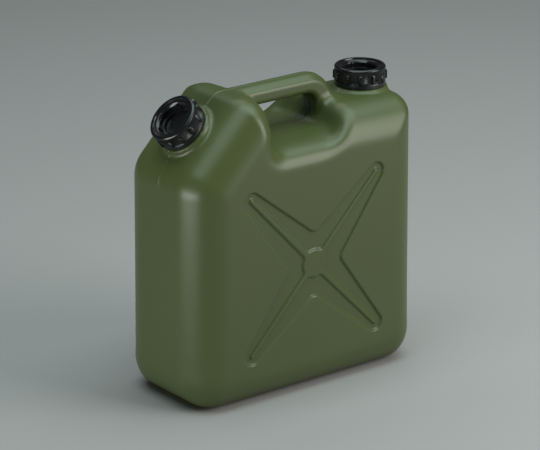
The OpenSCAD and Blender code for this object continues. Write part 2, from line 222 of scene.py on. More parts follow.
def tapered_bar(s, t, half, middle_r, tip_r):
    """Bar along s, with round tips of radius tip_r at distance half and radius middle_r at its middle."""
    s = np.abs(s)
    t = np.abs(t)
    sine = (middle_r - tip_r) / half
    cosine = math.sqrt(1 - sine**2)
    along = s * cosine - t * sine
    flank = s * sine + t * cosine - middle_r
    tip = np.hypot(s - half, t) - tip_r
    return np.where(along > half * cosine, tip, flank)


class Closure:
    """Place of one closure: the middle of its foot's top, its axis and the angle of its first lug."""

    def __init__(self, name, joint, lug_degrees):
        turn = next(j for j in frame["joints"] if j["name"] == joint)
        self.name = name
        self.origin = Vector(turn["pos_m"])
        self.axis = Vector(turn["axis"]).normalized()
        self.lug_angle = math.radians(lug_degrees)
        lean = math.atan2(self.axis.x, self.axis.z)
        self.matrix = Matrix.Translation(self.origin) @ Matrix.Rotation(lean, 4, "Y")

    def height_and_radius(self, p):
        offset = p - np.array(self.origin)
        height = offset @ np.array(self.axis)
        return height, np.sqrt(np.maximum((offset**2).sum(axis=1) - height**2, 0))


CLOSURES = [
    Closure("pour", "pour_cap_turn", lug_degrees=27),
    Closure("filler", "filler_cap_turn", lug_degrees=22),
]


class TankForm:
    """The tank's outer form as a signed distance, negative inside."""

    HUB_FILLET = 1.5 * MM  # between the cross's hub and its rib
    SLOPE_LOW_RUN = 15 * MM  # up from the pouring face's foot, where its edge radius starts to change
    SLOPE_TOP_RUN = 12 * MM  # down from the block's top, where it stops changing
    SPLAY_START = 8 * MM  # from the middle plane, where an end wall's splay sets in
    RIM_AT_BLOCK = (285 * MM, 308 * MM)  # heights over which the rim takes on the block's radius
    RIM_AT_SHOULDER = (272 * MM, 288 * MM)  # heights over which it takes on the shoulder's radius
    BAR_ROOT_X = -55 * MM  # the bar ends here, inside the block
    LEG_ROOT_Z = 262 * MM  # the leg ends here, inside the shoulder
    FILLET_AT_BLOCK = (2 * MM, 12 * MM)  # below the block's top, where the bar's fillet grows
    FILLET_AT_LEG = (-1 * MM, 7 * MM)  # behind the rear wall, where the leg's fillet grows
    FOOT_EDGE_R = 1.8 * MM  # round the top of a neck's foot
    FOOT_FILLET = 5 * MM  # between a neck's foot and the body

    def __init__(self, scene):
        self.tank = scene.can_tank
        self.grip = scene.can_grip
        self.cross = scene.can_cross
        self.closure = scene.can_closure
        self.slope_low_x = self.tank.draft - self.tank.length / 2

    def relief(self, x, z):
        """How deep the pressed cross lies at each place of a broad face."""
        cross = self.cross
        x, z = np.abs(x - cross.x), np.abs(z - cross.z)
        tip = np.array([cross.reach_x, cross.reach_z])
        edges, normals = [], []
        for waist, side in ((np.array([0, cross.waist]), 1), (np.array([cross.waist, 0]), -1)):
            way = tip - waist
            turn = math.atan2(way[1], way[0]) + side * math.asin(cross.tip_r / np.hypot(*way))
            normal = side * np.array([-math.sin(turn), math.cos(turn)])
            edge, mirrored = (
                (a - waist[0]) * normal[0] + (b - waist[1]) * normal[1]
                for a, b in ((x, z), (-x, z) if side > 0 else (x, -z))
            )
            lean = normal @ (normal * (-1, 1) if side > 0 else normal * (1, -1))
            edges.append(filled(edge, mirrored, cross.notch_r, lean))
            normals.append(normal)
        star = convex(*edges, cross.tip_r, normals[0] @ normals[1])
        half = np.hypot(*tip)
        u = tip / half
        along, across = x * u[0] + z * u[1], z * u[0] - x * u[1]
        rib = tapered_bar(along, across, half, cross.rib_w / 2, cross.rib_tip_w / 2)
        rib = filled(rib, np.hypot(x, z) - cross.hub_r, self.HUB_FILLET)
        pressed = cross.recess * ramp(-star, 0, cross.step)
        raised = cross.rib_h * ramp(-rib, 0, cross.step)
        return pressed - np.minimum(raised, pressed)

    def outline(self, x, z):
        """The body's side view, whose step from shoulder to block is left to the hand space, and
        the radius of its edges to the broad faces."""
        tank = self.tank
        filler_end = x - tank.length / 2 + tank.draft * z / tank.shoulder_z
        pouring_end = -x - tank.length / 2 + tank.draft * z / tank.slope_z
        walls = convex(convex(-z, filler_end, tank.base_end_r), pouring_end, tank.base_end_r)
        low = convex(walls, z - tank.shoulder_z, tank.shoulder_r)
        block = np.maximum(np.maximum(walls, z - tank.block_z), x)
        slope = math.sin(tank.slope) * (z - tank.slope_z) - math.cos(tank.slope) * (x - self.slope_low_x)
        low_share = 1 - ramp(z, tank.slope_z + self.SLOPE_LOW_RUN, tank.block_z - self.SLOPE_TOP_RUN)
        slope_r = tank.slope_top_r + (tank.slope_low_r - tank.slope_top_r) * low_share
        both = convex(np.minimum(low, block), slope, slope_r, math.cos(tank.slope))
        reach_end = np.maximum(-filler_end, 0) * (x > 0) + np.maximum(-pouring_end, 0) * (x <= 0)
        base_share = ramp(reach_end / (reach_end + np.maximum(z, 0) + TINY), 0, 1)
        return both, tank.edge_r + (tank.base_r - tank.edge_r) * base_share

    def hand_space(self, x, y, z):
        """The space cut out under the bar, and the radius of its rim."""
        grip = self.grip
        half_w = self.tank.depth / 2
        outwards = np.hypot(y, self.SPLAY_START) - self.SPLAY_START
        splay = grip.splay * outwards / half_w
        front = grip.front_x - splay - x
        rear_splay = grip.rear_splay * outwards / half_w
        beyond = np.maximum(np.abs(y) - grip.plan_y, 0) / grip.plan_r
        rear = (x - grip.rear_x - rear_splay + grip.plan_r * beyond**2 / 2) / np.sqrt(1 + beyond**2)
        floor = grip.floor_z - grip.fall * (y / half_w) ** 2 - z
        space = convex(convex(front, floor, grip.front_r), rear, grip.rear_r)
        high = ramp(z, *self.RIM_AT_BLOCK) * (x < 0)
        behind = ramp(z, *self.RIM_AT_SHOULDER) * (x > 0)
        rim = grip.rim_r + (grip.block_r - grip.rim_r) * high + (grip.shoulder_rim_r - grip.rim_r) * behind
        return space, rim

    def bar(self, x, y, z):
        """The handle bar, its bend and its leg, and the radius of the fillet round it."""
        grip = self.grip
        block_z = self.tank.block_z
        top = convex(z - block_z, x - grip.rear_x - grip.leg, grip.bend_r + grip.bar_h)
        half = grip.bar_w / 2
        side = np.abs(y) - half
        run = half - grip.crown_w / 2
        slant = math.hypot(run, grip.bevel_h)
        bevel = ((np.abs(y) - grip.crown_w / 2) * grip.bevel_h + top * run) / slant
        under = -convex(z - block_z + grip.bar_h, x - grip.rear_x, grip.bend_r)
        heel = (side + under + grip.heel) / math.sqrt(2)
        r = grip.bar_edge_r
        form = convex(top, bevel, 2 * r, run / slant)
        form = convex(form, side, r, grip.bevel_h / slant)
        form = convex(convex(form, heel, r, math.sqrt(0.5)), under, r, math.sqrt(0.5))
        form = np.maximum(form, np.maximum(self.BAR_ROOT_X - x, self.LEG_ROOT_Z - z))
        at_block = ramp(block_z - z, *self.FILLET_AT_BLOCK)
        at_leg = ramp(x - grip.rear_x, *self.FILLET_AT_LEG)
        return form, grip.fillet * np.where(x < 0, at_block, at_leg) + TINY

    def distance(self, p, details=True):
        """Signed distance at the points p. Without details it has neither cross nor neck feet."""
        x, y, z = p.T
        outline, edge_r = self.outline(x, z)
        relief = self.relief(x, z) if details else 0
        form = convex(outline, np.abs(y) - self.tank.depth / 2 + relief, edge_r)
        space, rim = self.hand_space(x, y, z)
        form = convex(form, -space, rim)
        bar, fillet = self.bar(x, y, z)
        form = filled(form, bar, fillet)
        for closure in CLOSURES if details else ():
            height, radius = closure.height_and_radius(p)
            foot = convex(radius - self.closure.foot_r, height, self.FOOT_EDGE_R)
            foot = np.maximum(foot, -self.closure.foot_drop - height)
            form = filled(form, foot, self.FOOT_FILLET)
        return form


def settled(points, distance, rounds=6):
    """The points moved along the form's slope until they lie on its surface."""
    step, farthest, least_square = 0.02 * MM, 6 * MM, 0.25
    for _ in range(rounds):
        value = distance(points)
        rises = [distance(points + step * axis) - distance(points - step * axis) for axis in np.eye(3)]
        slope = np.stack([rise / (2 * step) for rise in rises], axis=1)
        square = np.maximum((slope**2).sum(axis=1), least_square)
        points = points - np.clip(value / square, -farthest, farthest)[:, None] * slope
    return points


# ---- Mesh helpers ---------------------------------------------------------------------------------


def new_object(bm, name, matrix=None):
    """A shown object from a bmesh, with its place in its mesh."""
    if matrix is not None:
        bmesh.ops.transform(bm, matrix=matrix, verts=bm.verts)
    mesh = bpy.data.meshes.new(name)
    bm.to_mesh(mesh)
    bm.free()
    piece = bpy.data.objects.new(name, mesh)
    bpy.context.scene.collection.objects.link(piece)
    return piece


def baked(piece):
    """Applies the piece's modifiers to its mesh."""
    graph = bpy.context.evaluated_depsgraph_get()
    mesh = bpy.data.meshes.new_from_object(piece.evaluated_get(graph))
    old = piece.data
    piece.modifiers.clear()
    piece.data = mesh
    bpy.data.meshes.remove(old)
    return piece


def combined(piece, other, operation):
    """Adds the other object to the piece or cuts it away, and deletes the other."""
    modifier = piece.modifiers.new("combine", "BOOLEAN")
    modifier.operation = operation
    modifier.solver = "MANIFOLD"
    modifier.object = other
    baked(piece)
    bpy.data.objects.remove(other)
    return piece


def finished(piece, body, slot, material, *nodes, sharp_degrees=38):
    """Shades the piece, gives it its material and ties it to the frame."""
    piece.data.shade_smooth()
    piece.data.set_sharp_from_angle(angle=math.radians(sharp_degrees))
    piece.data.materials.clear()
    piece.data.materials.append(material)
    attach(piece, body)
    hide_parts(*nodes)


def coordinates(bm):
    """The places of the bmesh's points, one row for each."""
    return np.array([v.co[:] for v in bm.verts])


def set_coordinates(bm, points):
    """Puts the bmesh's points at the given places."""
    for vert, point in zip(bm.verts, points):
        vert.co = point


def relaxed(points, edges, distance, rounds):
    """Evens out the spacing of the points while they stay on the form."""
    pull, last_rounds = 0.6, 4
    first, second = edges.T
    count = np.bincount(np.concatenate([first, second]), minlength=len(points))[:, None]
    for _ in range(rounds):
        total = np.zeros_like(points)
        for axis in range(3):
            total[:, axis] = np.bincount(first, points[second, axis], len(points))
            total[:, axis] += np.bincount(second, points[first, axis], len(points))
        points = settled(points + pull * (total / count - points), distance, 1)
    return settled(points, distance, last_rounds)


def spun(profile, steps, name, matrix=None):
    """Solid turned about Z from an open profile of (radius, height) points with its ends on the axis."""
    bm = bmesh.new()
    verts = [bm.verts.new((r, 0, z)) for r, z in profile]
    edges = [bm.edges.new(pair) for pair in zip(verts, verts[1:])]
    spin_all_round(bm, verts + edges, steps)
    return new_object(bm, name, matrix)


def ring(profile, steps, name, matrix=None):
    """Ring about Z from a closed profile of (radius, height) points."""
    bm = bmesh.new()
    verts = [bm.verts.new((r, 0, z)) for r, z in profile]
    edges = [bm.edges.new(pair) for pair in zip(verts, verts[1:] + verts[:1])]
    spin_all_round(bm, verts + edges, steps)
    return new_object(bm, name, matrix)


def spin_all_round(bm, geometry, steps):
    """Turns the geometry once about Z and closes the skin that it leaves."""
    weld = 0.002 * MM
    bmesh.ops.spin(
        bm, geom=geometry, cent=(0, 0, 0), axis=(0, 0, 1), angle=math.tau, steps=steps, use_merge=True
    )
    bmesh.ops.remove_doubles(bm, verts=bm.verts, dist=weld)
    bmesh.ops.recalc_face_normals(bm, faces=bm.faces)


def softened(profile, r, closed, steps=3):
    """The profile with a short arc at each corner, which takes up to r of its two sides."""
    side_share = 0.4
    count = len(profile)
    points = [Vector(p) for p in profile]
    out = []
    for i, p in enumerate(points):
        if not closed and i in (0, count - 1):
            out.append(tuple(p))
            continue
        before, after = points[i - 1] - p, points[(i + 1) % count] - p
        reach = min(r, before.length * side_share, after.length * side_share)
        start, end = p + before.normalized() * reach, p + after.normalized() * reach
        for k in range(steps + 1):
            t = k / steps
            out.append(tuple(start * (1 - t) ** 2 + p * 2 * t * (1 - t) + end * t**2))
    return out


# ---- Tank -------------------------------------------------------------------------------------------


def rough_body(form):
    """Blocks that fill the tank's outline, for the remesh to join."""
    tank, grip = form.tank, form.grip
    half_l, half_w = tank.length / 2, tank.depth / 2
    bar_root_x, leg_root_z, bend_gap, top_gap = -60 * MM, 260 * MM, 5 * MM, 9 * MM
    slope_top_x = form.slope_low_x + (tank.block_z - tank.slope_z) * math.tan(tank.slope)
    outline = [
        (-half_l, 0), (half_l, 0), (half_l, tank.shoulder_z), (grip.rear_x, tank.shoulder_z),
        (grip.rear_x, grip.floor_z), (grip.front_x, grip.floor_z), (grip.front_x, tank.block_z),
        (slope_top_x, tank.block_z), (form.slope_low_x, tank.slope_z),
    ]
    bm = bmesh.new()
    face = bm.faces.new([bm.verts.new((x, -half_w, z)) for x, z in outline])
    side = bmesh.ops.extrude_face_region(bm, geom=[face])["geom"]
    far_verts = [v for v in side if isinstance(v, bmesh.types.BMVert)]
    bmesh.ops.translate(bm, vec=(0, 2 * half_w, 0), verts=far_verts)
    leg_back_x = grip.rear_x + grip.leg
    for low, high in (
        ((bar_root_x, tank.block_z - grip.bar_h), (leg_back_x - bend_gap, tank.block_z)),
        ((grip.rear_x, leg_root_z), (leg_back_x, tank.block_z - top_gap)),
    ):
        size = (high[0] - low[0], grip.bar_w, high[1] - low[1])
        middle = ((low[0] + high[0]) / 2, 0, (low[1] + high[1]) / 2)
        matrix = Matrix.Translation(middle) @ Matrix.Diagonal((*size, 1))
        bmesh.ops.create_cube(bm, size=1, matrix=matrix)
    bmesh.ops.recalc_face_normals(bm, faces=bm.faces)
    return bm


def add_feet(bm, closure_sizes):
    """Round feet under the necks."""
    r, drop = closure_sizes.foot_r, closure_sizes.foot_drop
    for closure in CLOSURES:
        matrix = closure.matrix @ Matrix.Translation((0, 0, -drop / 2))
        bmesh.ops.create_cone(
            bm, cap_ends=True, segments=64, radius1=r, radius2=r, depth=drop, matrix=matrix
        )


def remeshed(bm, voxel):
    """A bmesh of even faces round everything in bm."""
    piece = new_object(bm, "rough")
    modifier = piece.modifiers.new("even", "REMESH")
    modifier.mode = "VOXEL"
    modifier.voxel_size = voxel
    baked(piece)
    out = bmesh.new()
    out.from_mesh(piece.data)
    bpy.data.objects.remove(piece)
    return out


def refine(bm, wanted, cuts):
    """Cuts the faces whose middle is wanted into smaller ones."""
    middles = np.array([f.calc_center_median()[:] for f in bm.faces])
    chosen = [f for f, yes in zip(bm.faces, wanted(middles)) if yes]
    edges = {e for f in chosen for e in f.edges}
    bmesh.ops.subdivide_edges(bm, edges=list(edges), cuts=cuts, use_grid_fill=True)


def raise_seam(bm, tank):
    """Stands a thin ridge on the middle plane, where the mould parts. It fades in over the base."""
    cut_snap, on_plane = 0.02 * MM, 0.03 * MM
    base_run, rise_run = (1 * MM, 12 * MM), (225 * MM, 262 * MM)
    for y in (-tank.seam_w, tank.seam_w, 0):
        everything = bm.verts[:] + bm.edges[:] + bm.faces[:]
        bmesh.ops.bisect_plane(
            bm, geom=everything, dist=cut_snap, plane_co=(0, y, 0), plane_no=(0, 1, 0)
        )
    bm.normal_update()
    for vert in [v for v in bm.verts if abs(v.co.y) < on_plane]:
        vert.co.y = 0
        share = float(ramp(vert.co.z, *rise_run))
        rise = tank.seam_low_h + (tank.seam_h - tank.seam_low_h) * share
        outwards = Vector((vert.normal.x, 0, vert.normal.z))
        vert.co += outwards * rise * float(ramp(vert.co.z, *base_run))


def near_cross(form, reach):
    """Says which places lie within reach of the steps of the pressed cross."""
    face_y = form.tank.depth / 2 - 3.2 * MM
    least_change = 0.02 * form.cross.recess
    shifts = (-reach, 0, reach)

    def wanted(p):
        x, y, z = p.T
        depths = [form.relief(x + dx, z + dz) for dx in shifts for dz in shifts]
        return (np.abs(y) > face_y) & (np.ptp(depths, axis=0) > least_change)

    return wanted


def near_bar(form):
    """Says which places lie on the handle bar."""
    low, high = np.array([-42, -20, 286]) * MM, np.array([80, 20, math.inf]) * MM
    close = 4 * MM
    return lambda p: ((p > low) & (p < high)).all(axis=1) & (form.bar(*p.T)[0] < close)


def near_feet(form):
    """Says which places lie near the rims of the neck feet."""
    aside, middle, reach = 5 * MM, -3 * MM, 9 * MM

    def wanted(p):
        near = np.zeros(len(p), bool)
        for closure in CLOSURES:
            height, radius = closure.height_and_radius(p)
            near |= (np.abs(radius - form.closure.foot_r) < aside) & (np.abs(height - middle) < reach)
        return near

    return wanted


def edge_indices(bm):
    """The numbers of the two points of each edge."""
    bm.verts.index_update()
    return np.array([[v.index for v in e.verts] for e in bm.edges])


def split_wide_faces(bm):
    """Cuts the faces with more than four sides into triangles."""
    bmesh.ops.triangulate(bm, faces=[f for f in bm.faces if len(f.verts) > 4])


def tank_skin(form):
    """The tank's outside, closed over the necks."""
    voxel, wide_reach, close_reach = 3.9 * MM, 2.4 * MM, 0.9 * MM
    rough = rough_body(form)
    add_feet(rough, form.closure)
    bm = remeshed(rough, voxel)
    set_coordinates(bm, relaxed(coordinates(bm), edge_indices(bm), form.distance, rounds=14))
    refine(bm, near_bar(form), cuts=1)
    refine(bm, near_feet(form), cuts=2)
    refine(bm, near_cross(form, wide_reach), cuts=2)
    refine(bm, near_cross(form, close_reach), cuts=1)
    set_coordinates(bm, settled(coordinates(bm), form.distance))
    split_wide_faces(bm)
    raise_seam(bm, form.tank)
    split_wide_faces(bm)
    bmesh.ops.recalc_face_normals(bm, faces=bm.faces)
    return new_object(bm, "tank")


def tank_cavity(form):
    """The space inside the tank, a wall and half the cross's recess in."""
    voxel = 7 * MM
    bm = remeshed(rough_body(form), voxel)

    def inner(p):
        return form.distance(p, details=False) + form.tank.wall + form.cross.recess / 2

    set_coordinates(bm, relaxed(coordinates(bm), edge_indices(bm), inner, rounds=10))
    return new_object(bm, "cavity")


NECK_STEPS = 96


def neck_solid(sizes, closure):
    """A neck with its bead and its sealing rim, not yet bored."""
    r, bead_z = sizes.neck_r, sizes.bead_z
    root_z, bead_slope, corner_r = -3 * MM, 0.6 * MM, 0.5 * MM
    profile = [
        (0, root_z), (r, root_z), (r, bead_z - bead_slope), (sizes.bead_r, bead_z),
        (sizes.bead_r, bead_z + sizes.bead_h / 2), (r, bead_z + sizes.bead_h),
        (r, sizes.neck_h), (0, sizes.neck_h),
    ]
    return spun(softened(profile, corner_r, closed=False), NECK_STEPS, "neck", closure.matrix)


def thread_solid(sizes, closure):
    """The neck's thread: a tapered section turned along its screw line, fading out at both ends."""
    steps_per_turn, turns, fade_steps, least_share = 48, 1.75, 8, 0.05
    steps = int(steps_per_turn * turns)
    sunk, root_half, crest_half = 0.4 * MM, 1.3 * MM, 0.5 * MM
    root, crest = sizes.neck_r - sunk, sizes.neck_r + sizes.thread_h
    bm = bmesh.new()
    section = ((root, -root_half), (crest, -crest_half), (crest, crest_half), (root, root_half))
    verts = [bm.verts.new((r, 0, sizes.thread_z + z)) for r, z in section]
    edges = [bm.edges.new(pair) for pair in zip(verts, verts[1:] + verts[:1])]
    bmesh.ops.spin(
        bm, geom=verts + edges, cent=(0, 0, 0), axis=(0, 0, 1),
        dvec=(0, 0, sizes.pitch / steps_per_turn), angle=math.tau * turns, steps=steps,
    )
    bm.verts.ensure_lookup_table()
    for i, vert in enumerate(bm.verts):
        k = i // len(section)
        share = max(least_share, min(1, k / fade_steps, (steps - k) / fade_steps))
        r = math.hypot(vert.co.x, vert.co.y)
        if r > root + 0.1 * MM:
            shrink = (root + (r - root) * share) / r
            vert.co.x *= shrink
            vert.co.y *= shrink
    bmesh.ops.holes_fill(bm, edges=[e for e in bm.edges if e.is_boundary], sides=4)
    bmesh.ops.recalc_face_normals(bm, faces=bm.faces)
    return new_object(bm, "thread", closure.matrix)


def bore_cutter(sizes, closure):
    """What is cut out of a neck and of the wall under it, with a bevel at the rim."""
    r, top = sizes.bore_r, sizes.neck_h
    low_z, bevel, over = -20 * MM, 0.8 * MM, 0.2 * MM
    profile = [(0, low_z), (r, low_z), (r, top - bevel), (r + bevel, top + over), (0, top + over)]
    return spun(profile, NECK_STEPS, "bore", closure.matrix)


class CAN_OT_tank(bpy.types.Operator):
    """Model the moulded tank with its handle, pressed crosses, seam and threaded necks"""

    bl_idname = "can.tank"
    bl_label = "Tank"

    def execute(self, context):
        form = TankForm(context.scene)
        piece = tank_skin(form)
        sizes = form.closure
        for closure in CLOSURES:
            combined(piece, neck_solid(sizes, closure), "UNION")
            combined(piece, thread_solid(sizes, closure), "UNION")
        combined(piece, tank_cavity(form), "DIFFERENCE")
        for closure in CLOSURES:
            combined(piece, bore_cutter(sizes, closure), "DIFFERENCE")
        finished(piece, "tank", "tank_plastic", tank_plastic(context.scene.can_finish), "tank_shell")
        return {"FINISHED"}


# ---- Closures ---------------------------------------------------------------------------------------


RIM_BEVEL = 1.4 * MM  # round the cap's rim


def cap_profile(sizes):
    """Half section of a cap, from the middle of its well's underside round to the well's floor."""
    seal_gap, step_w, step_h, dish_slope = 0.05 * MM, 2.6 * MM, 4.2 * MM, 0.5 * MM
    hem, hem_end, collar, collar_end = 0.9 * MM, 1.2 * MM, 1.1 * MM, 1.4 * MM
    plug_r = sizes.well_r + sizes.cap_wall
    step_r = sizes.well_r - step_w
    knurl_r = sizes.cap_r - sizes.knurl_h
    floor_z = sizes.top_z - sizes.well_h
    roof_z = sizes.seal_z + sizes.seal_h + seal_gap
    rim_in_z = sizes.top_z - sizes.dish_h
    step_z = floor_z + step_h
    edge_z = sizes.top_z - RIM_BEVEL
    return [
        (0, floor_z - sizes.cap_wall), (plug_r, floor_z - sizes.cap_wall), (plug_r, roof_z),
        (sizes.skirt_in_r, roof_z), (sizes.skirt_in_r, sizes.skirt_z), (sizes.cap_r, sizes.skirt_z),
        (sizes.cap_r, sizes.skirt_z + hem), (knurl_r, sizes.skirt_z + hem_end),
        (knurl_r, edge_z - collar_end), (sizes.cap_r, edge_z - collar),
        (sizes.cap_r, edge_z), (sizes.cap_r - RIM_BEVEL, sizes.top_z),
        (sizes.dish_r + dish_slope, sizes.top_z), (sizes.dish_r, rim_in_z), (sizes.mouth_r, rim_in_z),
        (sizes.well_r, rim_in_z - sizes.mouth_h), (sizes.well_r, step_z), (step_r, step_z),
        (step_r, floor_z), (0, floor_z),
    ]


def cap_turning(sizes):
    """The turned body of a cap, with fine upright ridges round its skirt."""
    steps_per_knurl, corner_r, close = 4, 0.35 * MM, 0.1 * MM
    knurls = sizes.lugs * sizes.knurls
    profile = softened(cap_profile(sizes), corner_r, closed=False, steps=2)
    piece = spun(profile, knurls * steps_per_knurl, "turning")
    low, high = sizes.skirt_z + 1.05 * MM, sizes.top_z - 2.7 * MM
    for vert in piece.data.vertices:
        r = math.hypot(vert.co.x, vert.co.y)
        if low < vert.co.z < high and abs(r - sizes.cap_r + sizes.knurl_h) < close:
            turn = math.atan2(vert.co.y, vert.co.x) * knurls
            grown = (r + sizes.knurl_h * (0.5 + 0.5 * math.cos(turn))) / r
            vert.co.x *= grown
            vert.co.y *= grown
    return piece


def block(low, high, bevel):
    """A box between two corners with rounded edges."""
    low, high = Vector(low), Vector(high)
    bm = bmesh.new()
    matrix = Matrix.Translation((low + high) / 2) @ Matrix.Diagonal((*(high - low), 1))
    bmesh.ops.create_cube(bm, size=1, matrix=matrix)
    bmesh.ops.bevel(
        bm, geom=bm.edges[:], offset=bevel, segments=2, profile=0.5, affect="EDGES", material=-1
    )
    return bm


def round_and_round(bm, count, first, name):
    """Copies of bm at equal steps about Z."""
    part = bmesh.new()
    mesh = bpy.data.meshes.new("copy")
    bm.to_mesh(mesh)
    bm.free()
    for k in range(count):
        before = len(part.verts)
        part.from_mesh(mesh)
        part.verts.ensure_lookup_table()
        turn = Matrix.Rotation(first + k * math.tau / count, 4, "Z")
        bmesh.ops.transform(part, matrix=turn, verts=part.verts[before:])
    bpy.data.meshes.remove(mesh)
    return new_object(part, name)


def cap_lugs(sizes, first):
    """Grip lugs round a cap's skirt, with tops that slope outwards."""
    sunk, edge_r, top_share, top_slope = 1.2 * MM, 0.5 * MM, 0.8, 0.8
    low_z = sizes.skirt_z + 0.3 * MM
    lug = block(
        (sizes.cap_r - sunk, -sizes.lug_w / 2, low_z),
        (sizes.cap_r + sizes.lug_h, sizes.lug_w / 2, low_z + sizes.lug_l),
        edge_r,
    )
    top = [v for v in lug.verts if v.co.z > low_z + sizes.lug_l * top_share and v.co.x > sizes.cap_r]
    for vert in top:
        vert.co.z -= (vert.co.x - sizes.cap_r) * top_slope
    return round_and_round(lug, sizes.lugs, first, "lugs")


def well_ribs(sizes, first):
    """Short upright ribs on the wall of the well."""
    count, stand, sunk, half_w, edge_r = 6, 1.0 * MM, 0.5 * MM, 0.7 * MM, 0.3 * MM
    low_z = sizes.top_z - sizes.well_h + 3.6 * MM
    high_z = sizes.top_z - sizes.dish_h - 0.5 * MM
    low, high = (sizes.well_r - stand, -half_w, low_z), (sizes.well_r + sunk, half_w, high_z)
    return round_and_round(block(low, high, edge_r), count, first, "ribs")


class CAN_OT_caps(bpy.types.Operator):
    """Model the two screw caps with their lugs, fine ridges, dish and well"""

    bl_idname = "can.caps"
    bl_label = "Caps"

    def execute(self, context):
        sizes = context.scene.can_closure
        material = cap_plastic(context.scene.can_finish)
        for closure in CLOSURES:
            piece = cap_turning(sizes)
            combined(piece, cap_lugs(sizes, closure.lug_angle), "UNION")
            combined(piece, well_ribs(sizes, closure.lug_angle), "UNION")
            piece.data.transform(closure.matrix)
            piece.name = f"{closure.name}_screw_cap"
            body, node = f"{closure.name}_cap_body", f"{closure.name}_cap"
            finished(piece, body, "cap_plastic", material, node, sharp_degrees=30)
        return {"FINISHED"}


class CAN_OT_bands(bpy.types.Operator):
    """Model the loose band that stays on each neck"""

    bl_idname = "can.bands"
    bl_label = "Bands"

    def execute(self, context):
        sizes = context.scene.can_closure
        material = band_plastic(context.scene.can_finish)
        steps, neck_gap, bead_gap, corner_r = 128, 1 * MM, 0.3 * MM, 0.45 * MM
        low, high = sizes.band_z, sizes.band_z + sizes.band_h
        lip_r, lip_z = sizes.neck_r + neck_gap, sizes.bead_z - bead_gap
        wide_r = sizes.bead_r + bead_gap
        profile = [
            (lip_r, low), (sizes.cap_r - 0.3 * MM, low), (sizes.cap_r, low + 0.5 * MM),
            (sizes.cap_r, high - 0.9 * MM), (sizes.cap_r - 0.7 * MM, high), (wide_r, high),
            (wide_r, lip_z), (lip_r, lip_z),
        ]
        profile = softened(profile, corner_r, closed=True)
        for closure in CLOSURES:
            piece = ring(profile, steps, f"{closure.name}_band", closure.matrix)
            finished(piece, "tank", "band_plastic", material, f"{closure.name}_cap_band")
        return {"FINISHED"}


class CAN_OT_seals(bpy.types.Operator):
    """Model the ring seal under the roof of each cap"""

    bl_idname = "can.seals"
    bl_label = "Seals"

    def execute(self, context):
        sizes = context.scene.can_closure
        material = seal_rubber(context.scene.can_finish)
        gap, corner_r = 0.3 * MM, 0.25 * MM
        groove_wide, groove_narrow, groove_h = 1 * MM, 0.6 * MM, 0.3 * MM
        inner, outer = sizes.well_r + sizes.cap_wall + gap, sizes.skirt_in_r - gap
        low, high = sizes.seal_z, sizes.seal_z + sizes.seal_h
        middle = (inner + outer) / 2
        profile = [
            (inner, low), (middle - groove_wide, low), (middle - groove_narrow, low + groove_h),
            (middle + groove_narrow, low + groove_h), (middle + groove_wide, low), (outer, low),
            (outer, high), (inner, high),
        ]
        profile = softened(profile, corner_r, closed=True)
        for closure in CLOSURES:
            piece = ring(profile, NECK_STEPS, f"{closure.name}_ring_seal", closure.matrix)
            body, node = f"{closure.name}_seal_body", f"{closure.name}_cap_seal"
            finished(piece, body, "seal_rubber", material, node)
        return {"FINISHED"}


# ---- Materials --------------------------------------------------------------------------------------


class Socket:
    """One output of a shader node, with the sums that the finishes use."""

    def __init__(self, shader, socket):
        self.shader = shader
        self.socket = socket

    def maths(self, operation, *values):
        """Adds a Math node that works on the values."""
        return self.shader.node("ShaderNodeMath", {"operation": operation}, dict(enumerate(values)))

    def __add__(self, other):
        return self.maths("ADD", self, other)

    def __mul__(self, other):
        return self.maths("MULTIPLY", self, other)

    __radd__ = __add__
    __rmul__ = __mul__


class Finish:
    """A material with one surface shader."""

    def __init__(self, name):
        self.material = bpy.data.materials.new(name)
        self.material.use_nodes = True
        self.tree = self.material.node_tree
        self.surface = self.tree.nodes["Principled BSDF"]

    def node(self, kind, settings=None, values=None, output=0):
        """Makes a node, its settings first, then the values or links of its sockets."""
        made = self.tree.nodes.new(kind)
        for key, value in (settings or {}).items():
            setattr(made, key, value)
        for key, value in (values or {}).items():
            self.put(made.inputs[key], value)
        return Socket(self, made.outputs[output])

    def put(self, socket, value):
        """Links a node's output to the socket, or sets the socket to a number or colour."""
        if isinstance(value, Socket):
            self.tree.links.new(value.socket, socket)
        else:
            socket.default_value = value

    def place(self):
        """Places on the piece, in metres."""
        return self.node("ShaderNodeTexCoord", output="Object")

    def noise(self, scale, detail=2.0, rough=0.5):
        """Even noise, with scale waves to a metre."""
        values = {"Vector": self.place(), "Scale": scale, "Detail": detail, "Roughness": rough}
        return self.node("ShaderNodeTexNoise", None, values)

    def mixed(self, share, first, second):
        """From the first colour to the second as share goes from 0 to 1."""
        values = {0: share, 6: (*first, 1), 7: (*second, 1)}
        return self.node("ShaderNodeMix", {"data_type": "RGBA"}, values, output=2)

    def bump(self, height, distance, strength, normal=None):
        """Tilts the surface as if height stood out by distance, on top of an earlier bump."""
        values = {"Height": height, "Distance": distance, "Strength": strength}
        if normal is not None:
            values["Normal"] = normal
        return self.node("ShaderNodeBump", None, values)

    def set(self, **values):
        """Sets inputs of the surface shader: Base_Color stands for Base Color."""
        for key, value in values.items():
            self.put(self.surface.inputs[key.replace("_", " ")], value)
        return self.material


